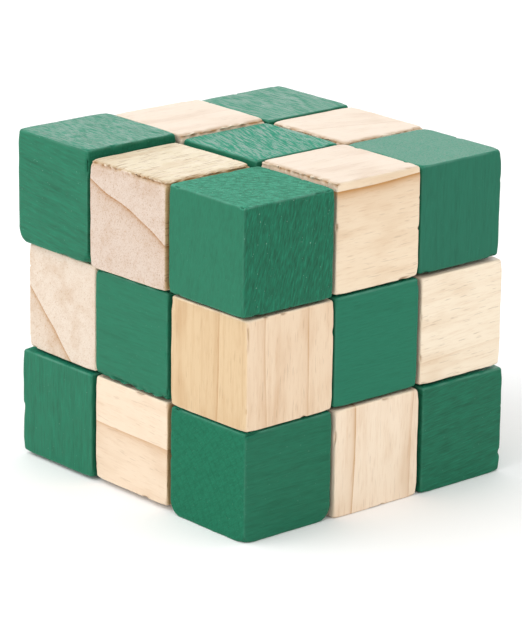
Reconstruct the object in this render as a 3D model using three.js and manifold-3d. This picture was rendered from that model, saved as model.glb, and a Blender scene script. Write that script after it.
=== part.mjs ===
// Twisty snake puzzle: 27 wooden cubelets threaded on one elastic cord and folded into a cube.
// Millimetres, +Z up, origin on the table under the middle of the cube.
// The chain starts in the bottom layer and ends in the top one. Each layer is three bars of three
// cubelets laid side by side in a zigzag, so the cubelets alternate between green and natural wood.

import * as THREE from 'three';
import { RoundedBoxGeometry } from 'three/addons/geometries/RoundedBoxGeometry.js';
import { mergeVertices } from 'three/addons/utils/BufferGeometryUtils.js';
import Module from 'manifold-3d';

const wasm = await Module();
wasm.setup();

// ---- driving dimensions ----

const SIDE = 19.9; // a cubelet's nominal side
const CELL = 20.3; // spacing of the cubelets in the cube, which leaves 0.4 between them
const EDGE_RADIUS = 0.8; // worn, sanded edges
const ROUGH_CUT = 0.05; // step by which sawn cubelets differ from the nominal side

const BORE_RADIUS = 2.0; // hole for the cord
const BORE_REACH = 14.0; // from the middle of a cubelet to well outside it
const BORE_SIDES = 12;

const CORD_RADIUS = 1.0;
const CORD_SIDES = 8;
const CORD_GAP = 0.3; // clear gap between two stretches of cord

const POCKET_RADIUS = 3.5; // wider pocket in the two end cubelets, for the knot and the plug
const POCKET_FLOOR = 2.4; // from the middle of the cubelet out to the pocket's floor
const KNOT_RADIUS = 2.4;
const KNOT_CENTRE = 4.9;
const PLUG_RADIUS = 3.2;
const PLUG_LENGTH = 1.9;
const PLUG_CENTRE = 8.7;

// ---- colours ----

const GREEN = 0x3f8a6c;
const NATURAL = 0xead6b8;
const ELASTIC = 0x1d1d20;
const PLUG_WOOD = 0xc9ab80;

const finish = (color, roughness) => new THREE.MeshStandardMaterial({ color, roughness, metalness: 0 });
const materials = {
  green: finish(GREEN, 0.6),
  natural: finish(NATURAL, 0.7),
  elastic: finish(ELASTIC, 0.9),
  plug: finish(PLUG_WOOD, 0.7),
};

// ---- the folded chain ----

const there = [0, 1, 2];
const back = [2, 1, 0];
const chain = [
  ...there.flatMap((y, bar) => (bar % 2 ? back : there).map((x) => new THREE.Vector3(x, y, 0))),
  ...back.flatMap((y, bar) => (bar % 2 ? there : back).map((x) => new THREE.Vector3(x, y, 1))),
  ...there.flatMap((x, bar) => (bar % 2 ? back : there).map((y) => new THREE.Vector3(x, y, 2))),
];
const last = chain.length - 1;

// Where the cord's line crosses a cell: the middle of a nominal cubelet.
const middle = (cell) => new THREE.Vector3((cell.x - 1) * CELL, (cell.y - 1) * CELL, cell.z * CELL + SIDE / 2);

const step = (from, to) => chain[to].clone().sub(chain[from]);
const number = (index) => String(index + 1).padStart(2, '0');

// ---- how single cubelets differ from the nominal one ----
// size: sides along X, Y and Z. shift: off the cord's line in X and Y. yaw: degrees about Z.
// lift: above the layer's floor, where the cord holds a cubelet up. In the top layer the heights are
// free, and in the others no cubelet reaches up to the next floor, so that the layers can turn.

const handFitted = {
  '0,0,2': { size: [20.1, 20.2, 20.7], shift: [-0.95, -0.5], yaw: -0.3 },
  '1,0,2': { size: [20.1, 19.8, 19.4], shift: [-0.15, -1.0], yaw: 1.2 },
  '2,0,2': { size: [19.9, 20.1, 19.3], shift: [0.35, -0.35], yaw: -0.7 },
  '2,1,2': { size: [19.9, 19.6, 19.9], shift: [0, 0], yaw: 0 },
  '2,2,2': { size: [19.8, 19.6, 19.6], shift: [-0.2, -0.2], yaw: 0 },
  '1,1,2': { size: [19.7, 19.7, 19.8], shift: [-0.3, -0.35], yaw: 0.4 },
  '0,1,2': { size: [19.8, 19.8, 20.3], shift: [-0.1, -0.1], yaw: -0.8 },
  '0,0,1': { size: [19.4, 19.2, 19.6], shift: [0.1, 0.25], yaw: -0.7, lift: 0.3 },
  '1,0,1': { size: [19.7, 19.8, 19.5], shift: [-0.1, 0], yaw: 0.4, lift: 0.3 },
  '2,0,1': { size: [19.9, 19.8, 19.8], shift: [0.35, 0.1], yaw: 0.6 },
  '2,1,1': { size: [19.8, 19.8, 19.9], shift: [0.25, 0.1], yaw: 0 },
  '2,2,1': { size: [19.9, 19.8, 19.8], shift: [0.45, 0.1], yaw: 0 },
  '0,0,0': { size: [19.9, 19.8, 19.5], shift: [-0.7, -0.2], yaw: 0.4, lift: 0.6 },
  '1,0,0': { size: [19.9, 19.5, 19.2], shift: [-0.5, 0.25], yaw: 0.3, lift: 0.9 },
  '2,0,0': { size: [19.9, 19.8, 19.9], shift: [0.1, 0.35], yaw: 0 },
  '2,1,0': { size: [19.9, 19.8, 19.9], shift: [0.65, 0.35], yaw: -0.3 },
  '2,2,0': { size: [19.9, 19.8, 19.8], shift: [0.95, 0.6], yaw: 0 },
};

// The rest lose a little on each side, in steps that differ from one cubelet to the next.
function sawn(index) {
  const size = [2, 3, 4].map((stride) => SIDE - ROUGH_CUT * ((index * stride) % 5));
  return { size, shift: [0, 0], yaw: 0 };
}

// ---- solids ----

function toSolid(geometry) {
  const bare = geometry.clone();
  bare.deleteAttribute('normal');
  bare.deleteAttribute('uv');
  const merged = mergeVertices(bare, 1e-4);
  const vertProperties = Float32Array.from(merged.attributes.position.array);
  const triVerts = Uint32Array.from(merged.index.array);
  return new wasm.Manifold(new wasm.Mesh({ numProp: 3, vertProperties, triVerts }));
}

function toGeometry(solid) {
  const { vertProperties, triVerts } = solid.getMesh();
  const geometry = new THREE.BufferGeometry();
  geometry.setAttribute('position', new THREE.BufferAttribute(vertProperties, 3));
  geometry.setIndex(new THREE.BufferAttribute(triVerts, 1));
  geometry.computeVertexNormals();
  return geometry;
}

// A round bar along a direction, between two distances from the origin.
function rod(radius, from, to, direction, sides) {
  const along = new THREE.Quaternion().setFromUnitVectors(new THREE.Vector3(0, 1, 0), direction);
  return new THREE.CylinderGeometry(radius, radius, to - from, sides)
    .translate(0, (from + to) / 2, 0)
    .applyQuaternion(along);
}

function block({ size, shift, yaw, lift = 0 }) {
  return new RoundedBoxGeometry(...size, 1, EDGE_RADIUS)
    .rotateZ(THREE.MathUtils.degToRad(yaw))
    .translate(shift[0], shift[1], lift + (size[2] - SIDE) / 2);
}

// A corner cubelet's two holes meet in the middle; a straight one is drilled right through.
function drilledCubelet(shape, ways) {
  let solid = toSolid(block(shape));
  for (const way of ways) {
    solid = solid.subtract(toSolid(rod(BORE_RADIUS, -BORE_RADIUS, BORE_REACH, way, BORE_SIDES)));
  }
  return solid;
}

function endCubelet(shape, inward) {
  const outward = inward.clone().negate();
  return drilledCubelet(shape, [inward, outward])
    .subtract(toSolid(rod(POCKET_RADIUS, POCKET_FLOOR, BORE_REACH, outward, 2 * BORE_SIDES)));
}

// ---- the pieces ----

function cubelet(index) {
  const cell = chain[index];
  const shape = handFitted[cell.toArray().join(',')] ?? sawn(index);
  const isEnd = index === 0 || index === last;
  const neighbours = [index - 1, index + 1].filter((n) => n >= 0 && n <= last);
  const ways = neighbours.map((n) => step(index, n));
  const solid = isEnd ? endCubelet(shape, ways[0]) : drilledCubelet(shape, ways);
  const colour = index % 2 ? materials.natural : materials.green;
  return namedMesh(`cubelet_${number(index)}`, toGeometry(solid), colour, middle(cell));
}

// How far the cord between two cubelets runs past the middle of the cubelet at one of its ends.
function cordOverrun(index, way, isStart) {
  if (index === 0 || index === last) return KNOT_CENTRE - KNOT_RADIUS - CORD_GAP;
  const other = isStart ? step(index - 1, index) : step(index, index + 1);
  const isStraight = other.dot(way) > 0.5;
  if (isStraight) return -CORD_GAP / 2;
  return isStart ? -(CORD_RADIUS + CORD_GAP) : CORD_RADIUS;
}

function cordStretch(index) {
  const way = step(index, index + 1);
  const from = -cordOverrun(index, way, true);
  const to = CELL + cordOverrun(index + 1, way, false);
  const geometry = rod(CORD_RADIUS, from, to, way, CORD_SIDES);
  const name = `cord_${number(index)}_${number(index + 1)}`;
  return namedMesh(name, geometry, materials.elastic, middle(chain[index]));
}

function endPieces(index, inward) {
  const outward = inward.clone().negate();
  const at = (distance) => middle(chain[index]).addScaledVector(outward, distance);
  const knot = new THREE.SphereGeometry(KNOT_RADIUS, 12, 8);
  const plug = rod(PLUG_RADIUS, -PLUG_LENGTH / 2, PLUG_LENGTH / 2, outward, 2 * BORE_SIDES);
  return [
    namedMesh(`cord_knot_${number(index)}`, knot, materials.elastic, at(KNOT_CENTRE)),
    namedMesh(`end_plug_${number(index)}`, plug, materials.plug, at(PLUG_CENTRE)),
  ];
}

function namedMesh(name, geometry, material, position) {
  const mesh = new THREE.Mesh(geometry, material);
  mesh.name = name;
  mesh.position.copy(position);
  return mesh;
}

// ---- assembly ----

const puzzle = new THREE.Group();
chain.forEach((_, index) => puzzle.add(cubelet(index)));
chain.slice(0, last).forEach((_, index) => puzzle.add(cordStretch(index)));
puzzle.add(...endPieces(0, step(0, 1)), ...endPieces(last, step(last, last - 1)));

export default puzzle;
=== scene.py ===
"""The looks of a twisty snake puzzle: 27 wooden cubelets, green and natural by turns, on one cord."""

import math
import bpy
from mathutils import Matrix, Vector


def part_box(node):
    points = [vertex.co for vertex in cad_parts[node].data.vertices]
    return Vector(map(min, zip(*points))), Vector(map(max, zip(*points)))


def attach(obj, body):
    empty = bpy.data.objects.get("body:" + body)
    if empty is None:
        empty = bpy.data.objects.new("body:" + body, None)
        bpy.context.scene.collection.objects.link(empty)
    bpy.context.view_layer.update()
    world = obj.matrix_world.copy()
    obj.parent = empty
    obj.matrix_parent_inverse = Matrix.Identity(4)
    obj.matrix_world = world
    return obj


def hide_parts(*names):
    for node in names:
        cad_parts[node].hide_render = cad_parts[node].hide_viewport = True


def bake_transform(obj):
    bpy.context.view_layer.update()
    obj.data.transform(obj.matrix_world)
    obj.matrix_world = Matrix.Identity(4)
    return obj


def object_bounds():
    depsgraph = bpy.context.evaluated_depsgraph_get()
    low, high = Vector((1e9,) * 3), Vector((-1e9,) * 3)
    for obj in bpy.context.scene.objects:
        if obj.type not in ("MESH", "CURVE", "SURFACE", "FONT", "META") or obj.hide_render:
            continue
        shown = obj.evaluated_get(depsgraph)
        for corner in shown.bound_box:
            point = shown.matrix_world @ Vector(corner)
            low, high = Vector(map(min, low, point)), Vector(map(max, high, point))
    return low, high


bl_info = {
    "name": "Twisty Snake Puzzle",
    "version": (1, 0, 0),
    "blender": (4, 5, 0),
    "location": "3D View > Sidebar > Snake Puzzle",
    "description": "Makes the cubelets, the cord with its knots and plugs, and a studio stage",
    "category": "Object",
}

import bmesh
import bpy
import numpy as np
from mathutils import Matrix, Vector, noise

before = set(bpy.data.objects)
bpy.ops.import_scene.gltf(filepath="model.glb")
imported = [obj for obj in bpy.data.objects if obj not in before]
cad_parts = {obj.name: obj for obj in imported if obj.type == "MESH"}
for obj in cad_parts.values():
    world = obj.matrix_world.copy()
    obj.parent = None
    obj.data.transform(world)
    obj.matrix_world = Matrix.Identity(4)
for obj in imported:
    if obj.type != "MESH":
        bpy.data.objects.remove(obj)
CAD_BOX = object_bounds()

MM = 0.001

CUBELETS = sorted(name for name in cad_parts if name.startswith("cubelet_"))
CORDS = sorted(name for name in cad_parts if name.startswith("cord_") and "knot" not in name)
KNOTS = sorted(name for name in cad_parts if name.startswith("cord_knot_"))
PLUGS = sorted(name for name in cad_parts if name.startswith("end_plug_"))

AXES = ((1, 0, 0), (0, 1, 0), (0, 0, 1))
FACES = {
    "-X": (-1, 0, 0), "+X": (1, 0, 0), "-Y": (0, -1, 0), "+Y": (0, 1, 0), "-Z": (0, 0, -1), "+Z": (0, 0, 1),
}


def number_of(name):
    """A cubelet's number in the chain, which also ends the names of its knot and plug."""
    return int(name[-2:])


def is_green(name):
    return number_of(name) % 2 == 1


def unit(axis, sign=1.0):
    way = Vector((0, 0, 0))
    way[axis] = sign
    return way


# ---- colours ----


def linear(colour):
    """A hex sRGB colour as linear red, green and blue."""
    channels = [int(colour[i : i + 2], 16) / 255 for i in (1, 3, 5)]
    return tuple(c / 12.92 if c <= 0.04045 else ((c + 0.055) / 1.055) ** 2.4 for c in channels)


# The late-wood and deep-stain colours below also colour the painted shadow where fibre bundles lie deep.
LATE_WOOD_AND_SHADOW = linear("#cba577")
OPEN_VESSEL = linear("#8a6546")
RUBBED_WAX = linear("#f3e3c8")
BROKEN_FIBRE = linear("#94682f")

DEEP_STAIN_AND_SHADOW = linear("#8fa598")
THIN_STAIN = linear("#3f9b7b")
RUBBED_STAIN = linear("#6f9f8d")
STAINED_TEAR = linear("#20503c")
BARE_SPECK = linear("#8fb8a5")


# ---- how each cubelet lay in the log ----
# along: the way the fibres run. out: the way from the pith to the bark. pith: millimetres from the
# middle of the cubelet to the pith. year: millimetres from one growth ring to the next. shift: where
# the first ring falls, as a share of a year. rings, streaks, pores: how strongly each shows. coarse:
# how rough the saw left it, with sawn for the faces that differ. raw: how open the end grain was left.
# corners: how much rounder than usual the corners are worn, at the top and at the bottom. The face
# colours: a face may have its own colour. This is partly the face's own tone, as sawn faces take stain
# and wax differently, and partly painted light: tops and right (+X) faces are made lighter to stand in
# for light falling on them, and the brown right faces of 02 and 24 hold painted shadow of the gap beside
# them as well as broken wood. torn: edges whose fibres broke out, given by their two faces.

# The default face colours are painted light: green tops and natural right (+X) faces are lighter to stand
# in for light falling on them.
GREEN_WOOD = {
    "along": (0, 0, 1), "out": (1, 0.3, 0), "pith": 60, "year": 3.0, "shift": 0.0, "rings": 0.2,
    "streaks": 0.3, "pores": 0.15, "coarse": 0.25, "sawn": {"+Z": 0.7}, "raw": 1.0,
    "corners": (1.0, 1.0), "shades": {"+Z": "#1c7c60"}, "torn": [],
}
NATURAL_WOOD = {
    "along": (0, 0, 1), "out": (0.3, 1, 0), "pith": 60, "year": 9.0, "shift": 0.0, "rings": 0.25,
    "streaks": 0.25, "pores": 0.3, "coarse": 0.25, "sawn": {}, "raw": 1.0,
    "corners": (1.0, 1.0), "shades": {"+X": "#f4e0c8"}, "torn": [],
}
# The face colours below are partly each face's own tone and partly painted light. On the +X faces of 02 and
# 24 they also hold painted shadow of the gap.
BOARDS = {
    1: {"along": (0, 0.05, 1), "out": (1, 0.3, 0), "streaks": 0.4, "coarse": 0.4},
    2: {"along": (1, 0, -0.06), "out": (0, 0.2, 1), "pith": 40, "year": 25, "shift": 0.4, "rings": 0.5,
        "streaks": 0.15, "shades": {"+X": "#bf9a70", "-Y": "#decab3"}},
    3: {"along": (0, 1, 0), "out": (0.8, 0, 0.6), "pith": 22, "year": 1.5, "rings": 0.25, "pores": 0.2,
        "sawn": {"-Y": 0.3}, "corners": (1.0, 3.2)},
    4: {"along": (0, 0.03, 1), "out": (0, 1, 0), "year": 14, "shift": 0.04, "rings": 0.4, "streaks": 0.25,
        "pores": 0.2},
    9: {"along": (0, 1, 0.1), "out": (0, 0, 1), "pith": 30, "year": 2.6, "rings": 0.4, "pores": 0.4,
        "sawn": {"+X": 0.6}},
    10: {"along": (0, 1, 0.03), "out": (0, 0, 1), "year": 20, "rings": 0.1, "streaks": 0.2, "pores": 0.35,
         "shades": {"+X": "#f6e6ce"}},
    15: {"along": (0, 1, 0), "out": (0, 0, 1), "streaks": 0.2, "coarse": 0.15, "shades": {"+X": "#227459"}},
    16: {"along": (0, 0, 1), "out": (0.5, 1, 0), "year": 8, "shift": 0.4, "rings": 0.3, "streaks": 0.35,
         "shades": {"-Y": "#ccb28e", "+X": "#ebd2b5"}},
    17: {"along": (1, 0, 0), "out": (0, 0, 1), "streaks": 0.2, "coarse": 0.15, "torn": [("-Y", "-Z")]},
    18: {"along": (0.1, 1, 0), "out": (0.67, 0, 0.74), "pith": 120, "year": 25, "shift": 0.38,
         "rings": 0.7, "pores": 0.6, "coarse": 0.4, "shades": {"-Y": "#d4c6b7"}},
    19: {"along": (1, 0, -0.1), "out": (0, 0.2, 1), "pith": 50, "year": 2.8, "rings": 0.3, "streaks": 0.5,
         "sawn": {"-Y": 0.45, "+Z": 0.65}, "corners": (1.5, 3.0)},
    20: {"along": (0, 1, 0), "out": (1, 0, 0.3), "year": 18, "rings": 0.1, "streaks": 0.05,
         "torn": [("+X", "+Z")]},
    21: {"along": (1, 0, 0), "out": (0, 1, 0.3)},
    22: {"along": (0.3, 1, 0), "out": (1, 0, 0.3), "year": 12, "shift": 0.6, "rings": 0.2, "streaks": 0.05,
         "torn": [("+X", "+Z"), ("-Y", "+Z")]},
    23: {"along": (1, -0.3, 0), "out": (0.3, 1, 0.3), "sawn": {"+Z": 1.3}, "shades": {"+Z": "#23876b"}},
    24: {"along": (0, 1, 0), "out": (0.39, 0, 0.92), "pith": 200, "year": 18, "shift": 0.74, "rings": 0.6,
         "streaks": 0.3, "pores": 1.0, "coarse": 0.5, "sawn": {"+Z": 1.0},
         "shades": {"+X": "#c4a274", "-Y": "#cbbbae", "+Z": "#dccfb4"},
         "torn": [("-Y", "+Z"), ("+X", "+Z")]},
    25: {"along": (0.15, 0.25, 1), "out": (1, 0.8, 0), "pith": 18, "year": 1.6, "rings": 0.3, "pores": 0.2,
         "coarse": 0.15, "sawn": {"+X": 1.0, "+Z": 1.5}, "shades": {"+Z": "#4ba084"}},
    26: {"along": (0, 1, 0.02), "out": (-0.15, 0, 1), "pith": 55, "year": 25, "shift": 0.484, "rings": 0.6,
         "streaks": 0.2, "pores": 0.3, "shades": {"+X": "#f0dbbf"}, "torn": [("-Y", "+Z")]},
    27: {"along": (0, 0, 1), "out": (1, 0.3, 0), "streaks": 0.3, "coarse": 0.15, "sawn": {"+Z": 0.35},
         "raw": 0.1, "corners": (1.5, 1.0), "shades": {"+X": "#236d55"}},
}


def board(name):
    """How a cubelet lay in the log: what BOARDS says of it, and for the rest a seeded lie in its wood."""
    number = number_of(name)
    seed = np.random.default_rng(number)
    pick = int(seed.integers(3))
    seeded = {"along": AXES[pick], "out": AXES[(pick + 1) % 3], "shift": float(seed.random())}
    wood = GREEN_WOOD if is_green(name) else NATURAL_WOOD
    own = BOARDS.get(number, {})
    lay = {**wood, **seeded, **own}
    for key in ("sawn", "shades"):
        lay[key] = {**wood[key], **own.get(key, {})}
    return lay


# ---- settings ----


class PuzzleSizes(bpy.types.PropertyGroup):
    """Sizes of the worn and drilled details, in metres."""

    edge: bpy.props.FloatProperty(
        name="Edge wear", description="Radius of the sanded edges",
        default=0.25 * MM, unit="LENGTH",
    )
    corner: bpy.props.FloatProperty(
        name="Corner wear", description="Extra radius where three edges meet",
        default=0.35 * MM, unit="LENGTH",
    )
    tear: bpy.props.FloatProperty(
        name="Tear depth", description="How deep broken-out fibres go",
        default=0.6 * MM, unit="LENGTH",
    )
    bore: bpy.props.FloatProperty(
        name="Bore", description="Radius of the hole for the cord",
        default=2.0 * MM, unit="LENGTH",
    )
    mouth: bpy.props.FloatProperty(
        name="Bore mouth", description="How far the drill frayed the rim",
        default=0.3 * MM, unit="LENGTH",
    )
    braid: bpy.props.FloatProperty(
        name="Braid", description="How far the threads of the cord stand out",
        default=0.07 * MM, unit="LENGTH",
    )


class PuzzleColours(bpy.types.PropertyGroup):
    """Colours of the finishes."""

    green: bpy.props.FloatVectorProperty(
        name="Green stain", description="Stained cubelets",
        subtype="COLOR", size=3, default=linear("#1f6b50"),
    )
    natural: bpy.props.FloatVectorProperty(
        name="Natural wood", description="Waxed cubelets",
        subtype="COLOR", size=3, default=linear("#d8c6b2"),
    )
    cord: bpy.props.FloatVectorProperty(
        name="Elastic", description="Braided cover",
        subtype="COLOR", size=3, default=linear("#1c1c20"),
    )
    plug: bpy.props.FloatVectorProperty(
        name="Plug", description="Dowel plugs",
        subtype="COLOR", size=3, default=linear("#c9ab80"),
    )
    floor: bpy.props.FloatVectorProperty(
        name="Floor", description="Studio floor",
        subtype="COLOR", size=3, default=linear("#fdfdfd"),
    )


# ---- nodes and materials ----


def add_node(tree, kind, settings=None, links=None):
    """Adds a node, sets its properties, and sets or links each named or numbered input."""
    made = tree.nodes.new(kind)
    for key, value in (settings or {}).items():
        setattr(made, key, value)
    for key, value in (links or {}).items():
        if isinstance(value, bpy.types.NodeSocket):
            tree.links.new(value, made.inputs[key])
        else:
            made.inputs[key].default_value = value
    return made


def new_material(name):
    made = bpy.data.materials.new(name)
    made.use_nodes = True
    made.node_tree.nodes.clear()
    return made, made.node_tree


def attribute(tree, name, output="Fac"):
    return add_node(tree, "ShaderNodeAttribute", {"attribute_name": name}).outputs[output]


def maths(tree, operation, a, b=0.0):
    return add_node(tree, "ShaderNodeMath", {"operation": operation}, {0: a, 1: b}).outputs[0]


def times(tree, a, *others):
    """The product of a mark and others, or numbers."""
    for other in others:
        a = maths(tree, "MULTIPLY", a, other)
    return a


def plus(tree, a, b):
    return maths(tree, "ADD", a, b)


def sum_of(tree, *terms):
    """Adds up marks, each given as a socket and its weight."""
    total = 0.0
    for socket, weight in terms:
        links = {0: socket, 1: weight, 2: total}
        total = add_node(tree, "ShaderNodeMath", {"operation": "MULTIPLY_ADD"}, links).outputs[0]
    return total


def scaled(tree, place, factors):
    settings = {"operation": "MULTIPLY"}
    return add_node(tree, "ShaderNodeVectorMath", settings, {0: place, 1: factors}).outputs[0]


def principled(tree, inputs):
    """Ends a material: the shader with these inputs, and the output."""
    shader = add_node(tree, "ShaderNodeBsdfPrincipled", None, inputs)
    add_node(tree, "ShaderNodeOutputMaterial", None, {"Surface": shader.outputs[0]})


def fine_noise(tree, size, detail=2.0):
    """Even noise in the object's own space, with features of one size in metres."""
    place = add_node(tree, "ShaderNodeTexCoord").outputs["Object"]
    links = {"Vector": place, "Scale": 1 / size, "Detail": detail}
    return add_node(tree, "ShaderNodeTexNoise", None, links).outputs["Fac"]


def wood_pattern(tree, place, across, along, detail=2.0):
    """Noise stretched along the fibres: across and along are its sizes in millimetres."""
    stretched = scaled(tree, place, (1 / across, 1 / across, 1 / along))
    links = {"Vector": stretched, "Scale": 1.0, "Detail": detail, "Roughness": 0.55}
    return add_node(tree, "ShaderNodeTexNoise", None, links).outputs["Fac"]


def step_up(tree, value, low, high):
    """0 below low, 1 above high, and smooth between."""
    settings = {"interpolation_type": "SMOOTHSTEP"}
    return add_node(tree, "ShaderNodeMapRange", settings, {0: value, 1: low, 2: high}).outputs[0]


def mix_colour(tree, factor, a, b, blend="MIX"):
    settings = {"data_type": "RGBA", "blend_type": blend}
    made = add_node(tree, "ShaderNodeMix", settings)
    for key, value in ((0, factor), (6, a), (7, b)):
        if isinstance(value, bpy.types.NodeSocket):
            tree.links.new(value, made.inputs[key])
        else:
            made.inputs[key].default_value = (*value, 1.0) if key else value
    return made.outputs[2]


FIBRE_RELIEF = 0.05 * MM
SMOOTHEST = 0.27  # roughness along the grain, before the marks add theirs
WAX_IOR = 1.45
WOOD_SHEEN = 0.15


def growth(tree):
    """Growth rings: the late wood darkens towards the end of each year and stops short at the next."""
    years = attribute(tree, "year")
    links = {"W": maths(tree, "FLOOR", years)}
    dryness = add_node(tree, "ShaderNodeTexWhiteNoise", {"noise_dimensions": "1D"}, links).outputs[0]
    share = maths(tree, "FRACT", years)
    darkening, last_line = maths(tree, "POWER", share, 6.0), maths(tree, "POWER", share, 40.0)
    late = sum_of(tree, (darkening, 0.4), (last_line, 1.0))
    return times(tree, late, plus(tree, times(tree, dryness, 0.5), 0.5))


def wood_marks(tree):
    """The patterns both kinds of cubelet share, each from 0 to 1."""
    place = attribute(tree, "board", "Vector")
    figure = add_node(tree, "ShaderNodeSeparateXYZ", None, {0: attribute(tree, "figure", "Vector")})
    rings, streaks, pores = figure.outputs
    end = attribute(tree, "end")
    long_grain = maths(tree, "SUBTRACT", 1.0, times(tree, end, 0.6))
    fibre = wood_pattern(tree, place, 0.28, 3.0, 3.0)  # fibre bundles, as coarse as they show
    band = wood_pattern(tree, place, 1.1, 16.0)
    tubes = plus(tree, wood_pattern(tree, place, 0.3, 3.5, 1.0), times(tree, pores, 0.06))
    outwards = scaled(tree, place, (0.2, 1.0, 1.0))  # rays run from the pith outwards
    return {
        "place": place,
        "fibre": fibre,
        "ray": wood_pattern(tree, outwards, 0.3, 1.5, 1.0),
        "blotch": wood_pattern(tree, place, 5.0, 14.0),
        "ring": times(tree, growth(tree), rings),
        "band": times(tree, step_up(tree, band, 0.45, 0.75), streaks),
        "vessel": times(tree, step_up(tree, tubes, 0.66, 0.74), pores, long_grain),
        "coarse": attribute(tree, "coarse"),
        "end": end,
        "worn": attribute(tree, "worn"),
        "torn": attribute(tree, "torn"),
        "shade": attribute(tree, "shade", "Color"),
    }


def wood_surface(tree, marks, colour):
    """Smooth along the fibres, rough on end grain and where torn, with the fibres' own relief."""
    lifted = times(tree, step_up(tree, marks["fibre"], 0.42, 0.62), marks["coarse"])
    rough = sum_of(tree, (marks["fibre"], 0.2), (lifted, 0.4), (marks["end"], 0.5), (marks["torn"], 0.4))
    fibres = plus(tree, marks["fibre"], times(tree, marks["ray"], marks["end"]))
    depth = plus(tree, marks["coarse"], 0.25)
    height = sum_of(tree, (times(tree, fibres, depth), 1.0), (marks["vessel"], -0.2))
    links = {"Strength": 1.0, "Distance": FIBRE_RELIEF, "Height": height}
    bump = add_node(tree, "ShaderNodeBump", None, links)
    principled(tree, {"Base Color": colour, "Roughness": plus(tree, rough, SMOOTHEST), "IOR": WAX_IOR,
                      "Specular IOR Level": WOOD_SHEEN, "Normal": bump.outputs[0]})


def fibre_shadow(tree, marks, low, high):
    """Painted shadow where fibre bundles lie deep, more strongly the coarser the sawing."""
    return times(tree, step_up(tree, marks["fibre"], high, low), plus(tree, marks["coarse"], 0.2))


def waxed_birch():
    """Sawn and sanded birch under a little wax: pale, with warm late wood, pinkish speckled end
    grain, and ochre fibres where an edge broke out."""
    made, tree = new_material("waxed birch")
    marks = wood_marks(tree)
    speckle = times(tree, step_up(tree, marks["fibre"], 0.52, 0.68), marks["end"])
    # dark: real growth rings, streaks and end-grain speckle, plus painted shadow where fibre bundles lie
    # deep
    dark = sum_of(tree, (marks["ring"], 1.6), (marks["band"], 0.5), (speckle, 0.4),
                  (fibre_shadow(tree, marks, 0.3, 0.5), 0.3))
    late_wood_and_shadow = mix_colour(tree, 1.0, marks["shade"], LATE_WOOD_AND_SHADOW, "MULTIPLY")
    colour = mix_colour(tree, maths(tree, "MINIMUM", dark, 1.0), marks["shade"], late_wood_and_shadow)
    warm = times(tree, step_up(tree, marks["blotch"], 0.45, 0.7), 0.22)
    colour = mix_colour(tree, warm, colour, late_wood_and_shadow)
    colour = mix_colour(tree, times(tree, marks["vessel"], 0.7), colour, OPEN_VESSEL)
    colour = mix_colour(tree, times(tree, marks["worn"], 0.4), colour, RUBBED_WAX)
    colour = mix_colour(tree, times(tree, marks["torn"], 0.85), colour, BROKEN_FIBRE)
    wood_surface(tree, marks, colour)
    return made


def green_stained_birch():
    """The same wood in a thin green water stain: the grain stays visible, rubbed edges go pale and a
    few fibre ends stay bare."""
    made, tree = new_material("green stained birch")
    marks = wood_marks(tree)
    soaked = plus(tree, times(tree, marks["end"], 1.2), 0.3)  # end grain drinks the most stain
    # dark: rings, streaks and pores in the stain, plus painted shadow where fibre bundles lie deep
    dark = sum_of(tree, (times(tree, marks["ring"], soaked), 1.2), (marks["band"], 0.5),
                  (marks["vessel"], 0.6), (fibre_shadow(tree, marks, 0.3, 0.55), 0.45))
    # deep: the deep stain colour, also used for the painted shadow of deep fibre bundles
    deep = mix_colour(tree, 1.0, marks["shade"], DEEP_STAIN_AND_SHADOW, "MULTIPLY")
    colour = mix_colour(tree, maths(tree, "MINIMUM", dark, 1.0), marks["shade"], deep)
    strokes = times(tree, step_up(tree, marks["ray"], 0.55, 0.4), marks["end"], marks["coarse"], 0.55)
    colour = mix_colour(tree, strokes, colour, deep)
    thin = times(tree, step_up(tree, marks["fibre"], 0.5, 0.75), marks["coarse"], 0.35)
    colour = mix_colour(tree, thin, colour, THIN_STAIN)
    colour = mix_colour(tree, times(tree, marks["worn"], 0.35), colour, RUBBED_STAIN)
    colour = mix_colour(tree, times(tree, marks["torn"], 0.5), colour, STAINED_TEAR)
    specks = step_up(tree, wood_pattern(tree, marks["place"], 0.3, 0.4, 0.0), 0.8, 0.86)
    colour = mix_colour(tree, times(tree, specks, marks["coarse"], 0.5), colour, BARE_SPECK)
    wood_surface(tree, marks, colour)
    return made


def braided_elastic(colours):
    """Rubber core in a woven polyester cover: matt, near black, with a fine thread on each strand."""
    made, tree = new_material("braided elastic")
    light = tuple(min(1.0, 3.0 * channel) for channel in colours.cord)
    thread = step_up(tree, fine_noise(tree, 0.25 * MM), 0.4, 0.7)
    colour = mix_colour(tree, thread, tuple(colours.cord), light)
    principled(tree, {"Base Color": colour, "Roughness": 0.85, "Sheen Weight": 0.3, "Sheen Roughness": 0.5})
    return made


def dowel_end_grain(colours):
    """Ramin dowel sawn across: bare, with open pores on its end."""
    made, tree = new_material("dowel end grain")
    deep = tuple(0.45 * channel for channel in colours.plug)
    pores = step_up(tree, fine_noise(tree, 0.3 * MM, 3.0), 0.5, 0.7)
    principled(tree, {"Base Color": mix_colour(tree, pores, tuple(colours.plug), deep), "Roughness": 0.7})
    return made


# ---- a cubelet's shape ----

FINE, COARSE = 44, 14  # steps across the flat of a side, for cubelets that show and that don't
FILLET_STEPS = (9, 18, 27, 36, 45)  # degrees round half of an edge
SHARP = math.radians(40)
HOLLOW = 0.03 * MM  # how far a sawn face wanders

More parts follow.
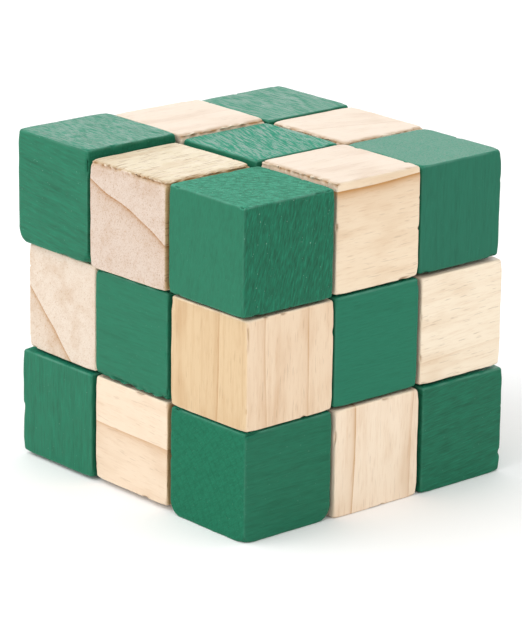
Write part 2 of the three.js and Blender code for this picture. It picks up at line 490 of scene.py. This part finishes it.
# How the wood is uneven: the size of the features, what is added to the cubelet's number as the seed,
# and how many times longer they are along the fibres.
UNEVEN = {
    "rounding": (3.0 * MM, 0, 1.0),
    "nicks": (1.8 * MM, 40, 2.0),
    "ragged": (0.8 * MM, 60, 1.6),
    "splinters": (0.5 * MM, 80, 5.0),
    "hollows": (5.0 * MM, 20, 1.0),
    "rubbing": (2.5 * MM, 7, 1.0),
}
RING_WANDER = (7.0, 90, 4.0)  # the same for the growth rings, in the log's millimetres
LOG_STEP = 31.0  # millimetres from one cubelet's place in the log to the next one's

BORE_SIDES, POCKET_SIDES = 40, 48
BORE_OVERLAP = 0.9  # share of its radius by which a bore runs past the crossing, so that two meet
FRAY_DEPTH, FRAY_WIDTH = 1.3, 1.4  # size of a frayed mouth, as shares of the mouth's own setting
CUTTER_REACH = 15 * MM
POCKET_FLOOR = 2.4 * MM  # from the crossing out to the floor of the pocket
PLUG_CLEARANCE = 0.12 * MM


def ticks(half, radius, steps):
    """Places across one side: even steps over the flat, then even angles round each edge."""
    flat = half - radius
    round_edge = flat + radius * np.tan(np.radians(FILLET_STEPS))
    return np.concatenate([-round_edge[::-1], np.linspace(-flat, flat, steps + 1), round_edge])


def shell(sides):
    """A closed box of four-sided faces on a lattice: its points and the faces' corners."""
    counts = [len(side) for side in sides]
    index, points, faces = {}, [], []

    def corner(key):
        if key not in index:
            index[key] = len(points)
            points.append([side[i] for side, i in zip(sides, key)])
        return index[key]

    for axis in range(3):
        u, v = (axis + 1) % 3, (axis + 2) % 3
        for end in (0, counts[axis] - 1):
            for a in range(counts[u] - 1):
                for b in range(counts[v] - 1):
                    ring = []
                    for du, dv in ((0, 0), (1, 0), (1, 1), (0, 1)):
                        key = [0, 0, 0]
                        key[axis], key[u], key[v] = end, a + du, b + dv
                        ring.append(corner(tuple(key)))
                    faces.append(ring if end else ring[::-1])
    return np.array(points), faces


def noise_at(points, number, kind, along):
    """Smooth noise from -1 to 1 at each point: kind is its size, seed and stretch along the fibres."""
    size, seed, stretch = kind
    share = (points @ along)[:, None] * along
    points = points - share * (1 - 1 / stretch)
    seed += number
    offset = Vector((seed * 17.3, seed * 5.1, seed * 29.7))
    return np.array([noise.noise(Vector(p) / size + offset) for p in points])


def fade(value, near, far):
    """1 below near, 0 above far, and smooth between."""
    t = np.clip((far - value) / (far - near), 0, 1)
    return t * t * (3 - 2 * t)


def edge_distance(points, half):
    """How far each point is from the nearest edge of the block, and from the nearest corner."""
    inside = np.sort(half - np.abs(points), axis=1)
    return inside[:, 1], inside[:, 2]


def torn_share(points, half, torn_edges, uneven):
    """How badly the fibres are torn at each point, from 0 to 1."""
    near, _ = edge_distance(points, half)
    total = np.clip((uneven("nicks") - 0.45) * 4, 0, 1) * fade(near, 0.1 * MM, 0.6 * MM)
    for pair in torn_edges:
        one, two = (np.array(FACES[face]) for face in pair)
        gap = np.maximum(np.abs(one) @ half - points @ one, np.abs(two) @ half - points @ two)
        ragged = np.clip(0.55 + 1.5 * uneven("ragged"), 0, 1)
        total = np.maximum(total, ragged * fade(gap, 0.3 * MM, 1.1 * MM))
    return total


def frame_of(node):
    """Turn about Z, half sides and middle of a CAD cubelet, from its own mesh."""
    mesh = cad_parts[node].data
    upright = [p for p in mesh.polygons if abs(p.normal.z) < 0.01]
    widest = max(upright, key=lambda p: p.area)
    angle = math.atan2(widest.normal.y, widest.normal.x)
    yaw = angle - round(angle / (math.pi / 2)) * (math.pi / 2)
    turned = Matrix.Rotation(-yaw, 3, "Z")
    local = np.array([turned @ v.co for v in mesh.vertices])
    low, high = local.min(0), local.max(0)
    middle = Matrix.Rotation(yaw, 3, "Z") @ Vector((low + high) / 2)
    return yaw, (high - low) / 2, middle


def worn_block(number, lay, half, sizes):
    """A sawn block with worn edges and torn fibres, in its own frame, as points, faces and marks."""
    along = np.array(Vector(lay["along"]).normalized())
    top, bottom = (sizes.corner * share for share in lay["corners"])
    widest = sizes.edge + max(top, bottom)
    steps = FINE if number in BOARDS else COARSE
    points, faces = shell([ticks(h, widest, steps) for h in half])

    def uneven(kind):
        return noise_at(points, number, UNEVEN[kind], along)

    _, far = edge_distance(points, half)
    radius = sizes.edge * (1 + 0.6 * uneven("rounding"))
    radius += np.where(points[:, 2] > 0, top, bottom) * fade(far, 0.3 * MM, 2.5 * MM)
    limit = half - radius[:, None]
    core = np.clip(points, -limit, limit)
    normal = points - core
    normal /= np.linalg.norm(normal, axis=1, keepdims=True)
    points = core + radius[:, None] * normal
    torn = torn_share(points, half, lay["torn"], uneven)
    tear = torn * sizes.tear * (0.75 + 0.5 * uneven("splinters"))
    points -= normal * (tear + HOLLOW * (1 + uneven("hollows")))[:, None]
    near, _ = edge_distance(points, half)
    rubbed = fade(near, 0.15 * MM, 0.5 * MM) * np.clip(0.7 + 0.9 * uneven("rubbing"), 0, 1)
    rubbed *= np.where(points[:, 2] > half[2] - 0.5 * MM, 1.0, 0.3)  # paler on the top edges, 0.3 as much on the others
    return points, faces, {"worn": rubbed * (1 - torn), "torn": torn}


def write_mark(mesh, name, values, kind="FLOAT"):
    field = {"FLOAT": "value", "FLOAT_VECTOR": "vector", "FLOAT_COLOR": "color"}[kind]
    made = mesh.attributes.get(name) or mesh.attributes.new(name, kind, "POINT")
    made.data.foreach_set(field, np.asarray(values, np.float32).ravel())


def ring_round(centre, side, other, radii):
    """Points round a centre at even turns, one for each radius."""
    turns = (2 * math.pi * i / len(radii) for i in range(len(radii)))
    return [centre + (side * math.cos(t) + other * math.sin(t)) * r for t, r in zip(turns, radii)]


def skin(name, rings, smooth=False):
    """A closed solid through rings of points, with a cap at each end."""
    made = bmesh.new()
    rings = [[made.verts.new(point) for point in ring] for ring in rings]
    sides = len(rings[0])
    for low, high in zip(rings, rings[1:]):
        for i in range(sides):
            j = (i + 1) % sides
            made.faces.new((low[i], low[j], high[j], high[i]))
    made.faces.new(rings[0][::-1])
    made.faces.new(rings[-1])
    for face in made.faces:
        face.smooth = smooth
    mesh = bpy.data.meshes.new(name)
    made.to_mesh(mesh)
    made.free()
    return link(name, mesh)


def lathe(name, profile, sides, way, origin):
    """A closed turned solid about a line: profile holds distances along it and radii."""
    side = way.orthogonal().normalized()
    other = way.cross(side)
    return skin(name, [ring_round(origin + way * d, side, other, [r] * sides) for d, r in profile])


def link(name, mesh):
    made = bpy.data.objects.new(name, mesh)
    bpy.context.scene.collection.objects.link(made)
    return made


def centre_of(node):
    low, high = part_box(node)
    return (low + high) / 2


def bores_of(name):
    """The ways in which a cubelet is drilled, and the point where the cord's lines cross in it."""
    cross = centre_of(name)
    found = {}
    for cord in CORDS:
        if name[-2:] in cord.split("_")[1:]:
            toward = centre_of(cord) - cross
            axis = max(range(3), key=lambda i: abs(toward[i]))
            found[cord] = unit(axis, math.copysign(1, toward[axis]))
    for cord, way in found.items():
        line = centre_of(cord)
        for i in range(3):
            if way[i] == 0:
                cross[i] = line[i]
    return list(found.values()), cross


def drill(piece, name, half, sizes):
    """Cuts the bores and, in an end cubelet, the pocket that the plug closes."""
    ways, cross = bores_of(name)
    mouth = sizes.bore + sizes.mouth * FRAY_WIDTH
    profile = [(-sizes.bore * BORE_OVERLAP, sizes.bore), (half[0] - sizes.mouth * FRAY_DEPTH, sizes.bore),
               (half[0] + 0.5 * MM, mouth), (CUTTER_REACH, mouth)]
    cutters = [lathe("bore", profile, BORE_SIDES, way, cross) for way in ways]
    plug = f"end_plug_{name[-2:]}"
    if plug in PLUGS:
        low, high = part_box(plug)
        radius = max(high - low) / 2 + PLUG_CLEARANCE
        pocket = [(POCKET_FLOOR, radius), (CUTTER_REACH, radius)]
        through = [(-sizes.bore, sizes.bore), (POCKET_FLOOR + 0.6 * MM, sizes.bore)]
        cutters.append(lathe("bore", pocket, POCKET_SIDES, -ways[0], cross))
        cutters.append(lathe("bore", through, BORE_SIDES, -ways[0], cross))
    for cutter in cutters:
        cut = piece.modifiers.new("bore", "BOOLEAN")
        cut.operation, cut.object, cut.solver = "DIFFERENCE", cutter, "MANIFOLD"
    evaluated = piece.evaluated_get(bpy.context.evaluated_depsgraph_get())
    solid, piece_mesh = piece.data, bpy.data.meshes.new_from_object(evaluated)
    piece.modifiers.clear()
    piece.data = piece_mesh
    for mesh in (solid, *(cutter.data for cutter in cutters)):
        bpy.data.meshes.remove(mesh)


def mark_wood(piece, name, lay, middle, turn):
    """Writes where each point lay in the log, how much it is end grain, and its face's colour, which on
    some faces is painted light.
    """
    mesh, number, colours = piece.data, number_of(name), bpy.context.scene.puzzle_colours
    count = len(mesh.vertices)
    points, normals = np.empty(count * 3), np.empty(count * 3)
    mesh.vertices.foreach_get("co", points)
    mesh.vertex_normals.foreach_get("vector", normals)
    back = np.array(turn.to_3x3().inverted())
    points = (points.reshape(-1, 3) - np.array(middle)) @ back.T
    normals = normals.reshape(-1, 3) @ back.T
    along = Vector(lay["along"]).normalized()
    out = Vector(lay["out"])
    out = (out - along * out.dot(along)).normalized()
    log = (points / MM) @ np.array([out, along.cross(out), along]).T
    wander = noise_at(log, number, RING_WANDER, np.array(AXES[2]))
    radius = np.hypot(log[:, 0] + lay["pith"], log[:, 1]) + wander
    write_mark(mesh, "year", radius / lay["year"] + lay["shift"])
    write_mark(mesh, "board", log + (lay["pith"], 0, 0) + number * LOG_STEP, "FLOAT_VECTOR")
    write_mark(mesh, "end", lay["raw"] * np.abs(normals @ np.array(along)) ** 4)
    figure = np.tile([lay["rings"], lay["streaks"], lay["pores"]], (count, 1))
    write_mark(mesh, "figure", figure, "FLOAT_VECTOR")
    plain = tuple(colours.green if is_green(name) else colours.natural)
    coarse, shade = np.zeros(count), np.zeros((count, 3))
    for face, way in FACES.items():
        share = np.maximum(normals @ np.array(way), 0) ** 2
        coarse += share * lay["sawn"].get(face, lay["coarse"])
        # a listed face colour, often painted light, else the plain stain or wax
        colour = linear(lay["shades"][face]) if face in lay["shades"] else plain
        shade += share[:, None] * np.array(colour)
    write_mark(mesh, "coarse", coarse)
    write_mark(mesh, "shade", np.hstack([shade, np.ones((count, 1))]), "FLOAT_COLOR")


def make_cubelet(name, sizes, material):
    lay = board(name)
    yaw, half, middle = frame_of(name)
    turn = Matrix.Rotation(yaw, 4, "Z")
    points, faces, marks = worn_block(number_of(name), lay, half, sizes)
    mesh = bpy.data.meshes.new("wood_" + name[-2:])
    mesh.from_pydata((points @ np.array(turn.to_3x3()).T + np.array(middle)).tolist(), [], faces)
    for mark, values in marks.items():
        write_mark(mesh, mark, values)
    piece = link("wood_" + name[-2:], mesh)
    drill(piece, name, half, sizes)
    piece.data.shade_smooth()
    piece.data.set_sharp_from_angle(angle=SHARP)
    mark_wood(piece, name, lay, middle, turn)
    piece.data.materials.clear()
    piece.data.materials.append(material)
    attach(piece, name)
    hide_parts(name)


# ---- the cord, its knots and plugs ----

CARRIERS = 8  # threads of the braid that run each way
THREAD_PITCH = 6.0 * MM  # one turn of a thread round the cord
CORD_STEP, CORD_SIDES = 0.25 * MM, 32
CORD_END = 0.9  # the cut ends are drawn in a little

KNOT_STEPS, KNOT_SIDES = 96, 16
KNOT_THREAD = 0.32  # the knotted cord's radius, as a share of the knot's
KNOT_RISE = 1.3

PLUG_SIDES = 64
PLUG_BEVEL = 0.25 * MM


def tube(name, path, radius, sides):
    """A closed tube round a path; radius gives its size at a step of the path and a turn."""
    rings = []
    normal = (path[1] - path[0]).orthogonal().normalized()
    for i, point in enumerate(path):
        way = (path[min(i + 1, len(path) - 1)] - path[max(i - 1, 0)]).normalized()
        normal = (normal - way * normal.dot(way)).normalized()
        radii = [radius(i, 2 * math.pi * j / sides) for j in range(sides)]
        rings.append(ring_round(point, normal, way.cross(normal), radii))
    return skin(name, rings, smooth=True)


def make_cord(cord, sizes, material):
    """One stretch of the cord between two cubelets."""
    low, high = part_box(cord)
    size, middle = high - low, (low + high) / 2
    length = max(size)
    way = unit(list(size).index(length))
    radius = min(size) / 2 - sizes.braid
    steps = round(length / CORD_STEP)
    path = [middle + way * (length * (i / steps - 0.5)) for i in range(steps + 1)]

    def braid(i, turn):
        wind = 2 * math.pi * length * i / steps / THREAD_PITCH
        over = abs(math.cos(CARRIERS / 2 * (turn + wind)))
        under = abs(math.cos(CARRIERS / 2 * (turn - wind)))
        core = radius * CORD_END if i in (0, steps) else radius
        return core + sizes.braid * max(over, under)

    piece = tube("elastic_" + cord[5:], path, braid, CORD_SIDES)
    piece.data.materials.append(material)
    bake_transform(piece)
    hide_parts(cord)


def make_knot(knot, material):
    """The cord's end tied in an overhand knot: a trefoil of the same cord, pulled tight."""
    low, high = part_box(knot)
    middle, outer = (low + high) / 2, min(high - low) / 2
    thread = KNOT_THREAD * outer
    path = []
    for i in range(KNOT_STEPS):
        t = 2 * math.pi * i / KNOT_STEPS
        ring = 2 + math.cos(3 * t)  # from 1 to 3, so a third of it is a share of the knot's radius
        point = Vector((ring * math.cos(2 * t), ring * math.sin(2 * t), KNOT_RISE * math.sin(3 * t)))
        path.append(middle + point / 3 * (outer - thread))
    piece = tube("knot_" + knot[-2:], path, lambda i, turn: thread, KNOT_SIDES)
    piece.data.materials.append(material)
    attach(piece, "cubelet_" + knot[-2:])
    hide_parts(knot)


def make_plug(plug, material):
    """A slice of dowel with a broken edge, pressed in over the knot."""
    low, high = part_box(plug)
    size = high - low
    thick, radius = min(size) / 2, max(size) / 2
    way = unit(list(size).index(min(size)))
    profile = [(-thick, radius - PLUG_BEVEL), (-thick + PLUG_BEVEL, radius),
               (thick - PLUG_BEVEL, radius), (thick, radius - PLUG_BEVEL)]
    piece = lathe("plug_" + plug[-2:], profile, PLUG_SIDES, way, (low + high) / 2)
    piece.data.materials.append(material)
    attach(piece, "cubelet_" + plug[-2:])
    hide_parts(plug)


# ---- the stage ----

AZIMUTH, ELEVATION, ROLL = 48.6, 17.0, 0.8  # degrees round from the -Y side towards +X, up, and over
DISTANCE = 0.607  # metres from the cube's middle
LENS, SENSOR = 232.3, 36  # millimetres
AIM_DROP = 2.9 * MM  # the view's middle lies this far below the cube's
FLOOR_HALF = 3.0

# Each is a square lamp: where it stands from the cube, how wide it is, and its power in watts.
LAMPS = {
    "softbox left": {"azimuth": -20, "elevation": 35, "distance": 0.9, "size": 1.0, "power": 5.0},
    "backdrop glow": {"azimuth": 228.6, "elevation": 20, "distance": 1.1, "size": 0.8, "power": 3.3,
                      "gloss_only": True},
}


def toward(azimuth, elevation):
    a, e = math.radians(azimuth), math.radians(elevation)
    return Vector((math.sin(a) * math.cos(e), -math.cos(a) * math.cos(e), math.sin(e)))


def looking_at(target, place, roll=0.0):
    """The matrix of an object at place that looks along its own -Z to target, turned over by roll."""
    turn = (place - target).to_track_quat("Z", "Y").to_matrix().to_4x4()
    return Matrix.Translation(place) @ turn @ Matrix.Rotation(math.radians(roll), 4, "Z")


def make_camera(middle):
    data = bpy.data.cameras.new("camera")
    data.sensor_fit, data.sensor_width, data.lens = "HORIZONTAL", SENSOR, LENS
    data.clip_start, data.clip_end = 0.05, 20
    camera = bpy.data.objects.new("camera", data)
    bpy.context.scene.collection.objects.link(camera)
    place = middle + toward(AZIMUTH, ELEVATION) * DISTANCE
    camera.matrix_world = looking_at(middle - Vector((0, 0, AIM_DROP)), place, ROLL)
    bpy.context.scene.camera = camera


def make_light(name, target, azimuth, elevation, distance, size, power, gloss_only=False):
    data = bpy.data.lights.new(name, "AREA")
    data.shape, data.size, data.energy = "SQUARE", size, power
    lamp = bpy.data.objects.new(name, data)
    bpy.context.scene.collection.objects.link(lamp)
    lamp.matrix_world = looking_at(target, target + toward(azimuth, elevation) * distance)
    lamp.visible_diffuse = not gloss_only


def make_floor(colours):
    """Matt white studio floor, a flat square wide enough to fill the view."""
    made, tree = new_material("matt studio paper")
    links = {"Distance": 0.01 * MM, "Height": fine_noise(tree, 0.8 * MM)}
    bump = add_node(tree, "ShaderNodeBump", None, links)
    principled(tree, {"Base Color": (*colours.floor, 1.0), "Roughness": 0.9, "Specular IOR Level": 0.1,
                      "Normal": bump.outputs[0]})
    mesh = bpy.data.meshes.new("floor")
    corners = [(x * FLOOR_HALF, y * FLOOR_HALF, 0) for x, y in ((-1, -1), (1, -1), (1, 1), (-1, 1))]
    mesh.from_pydata(corners, [], [(0, 1, 2, 3)])
    mesh.materials.append(made)
    link("floor", mesh)


def make_world():
    """An even white room."""
    world = bpy.data.worlds.new("studio")
    bpy.context.scene.world = world
    world.use_nodes = True
    background = world.node_tree.nodes["Background"]
    background.inputs["Color"].default_value = (1, 1, 1, 1)
    background.inputs["Strength"].default_value = 1.0


def set_view():
    """Colours as they are, with no film-like tone curve."""
    bpy.context.scene.view_settings.view_transform = "Standard"


# ---- operators ----


class SNAKE_OT_cubelets(bpy.types.Operator):
    """Make the 27 cubelets, drilled for the cord, in green stained and waxed wood"""

    bl_idname = "snake.cubelets"
    bl_label = "Cubelets"

    def execute(self, context):
        green, natural = green_stained_birch(), waxed_birch()
        for name in CUBELETS:
            make_cubelet(name, context.scene.puzzle_sizes, green if is_green(name) else natural)
        return {"FINISHED"}


class SNAKE_OT_cord(bpy.types.Operator):
    """Make the 26 stretches of braided elastic that join the cubelets"""

    bl_idname = "snake.cord"
    bl_label = "Elastic cord"

    def execute(self, context):
        material = braided_elastic(context.scene.puzzle_colours)
        for cord in CORDS:
            make_cord(cord, context.scene.puzzle_sizes, material)
        for knot in KNOTS:
            make_knot(knot, material)
        return {"FINISHED"}


class SNAKE_OT_plugs(bpy.types.Operator):
    """Make the two dowel plugs that close the end cubelets"""

    bl_idname = "snake.plugs"
    bl_label = "End plugs"

    def execute(self, context):
        material = dowel_end_grain(context.scene.puzzle_colours)
        for plug in PLUGS:
            make_plug(plug, material)
        return {"FINISHED"}


class SNAKE_OT_stage(bpy.types.Operator):
    """Set up the pale floor, the studio lights, the camera and the tone of the picture"""

    bl_idname = "snake.stage"
    bl_label = "Stage"

    def execute(self, context):
        low, high = (Vector(corner) for corner in CAD_BOX)
        middle = (low + high) / 2
        make_camera(Vector((0, 0, middle.z)))
        make_world()
        make_floor(context.scene.puzzle_colours)
        for name, lamp in LAMPS.items():
            make_light(name, middle, **lamp)
        set_view()
        return {"FINISHED"}


class SNAKE_PT_panel(bpy.types.Panel):
    """Lists the makers of the puzzle's pieces with their sizes and colours"""

    bl_idname = "SNAKE_PT_panel"
    bl_label = "Snake Puzzle"
    bl_space_type = "VIEW_3D"
    bl_region_type = "UI"
    bl_category = "Snake Puzzle"

    def draw(self, context):
        for group in (context.scene.puzzle_sizes, context.scene.puzzle_colours):
            column = self.layout.column()
            for key in group.bl_rna.properties.keys():
                if key not in ("rna_type", "name"):
                    column.prop(group, key)
        for operator in OPERATORS:
            self.layout.operator(operator.bl_idname)


OPERATORS = (SNAKE_OT_cubelets, SNAKE_OT_cord, SNAKE_OT_plugs, SNAKE_OT_stage)
CLASSES = (PuzzleSizes, PuzzleColours, *OPERATORS, SNAKE_PT_panel)


def register():
    for kind in CLASSES:
        bpy.utils.register_class(kind)
    bpy.types.Scene.puzzle_sizes = bpy.props.PointerProperty(type=PuzzleSizes)
    bpy.types.Scene.puzzle_colours = bpy.props.PointerProperty(type=PuzzleColours)


def unregister():
    del bpy.types.Scene.puzzle_sizes
    del bpy.types.Scene.puzzle_colours
    for kind in reversed(CLASSES):
        bpy.utils.unregister_class(kind)


def main():
    register()
    bpy.ops.snake.stage()
    bpy.ops.snake.cubelets()
    bpy.ops.snake.cord()
    bpy.ops.snake.plugs()


if __name__ == "__main__":
    main()
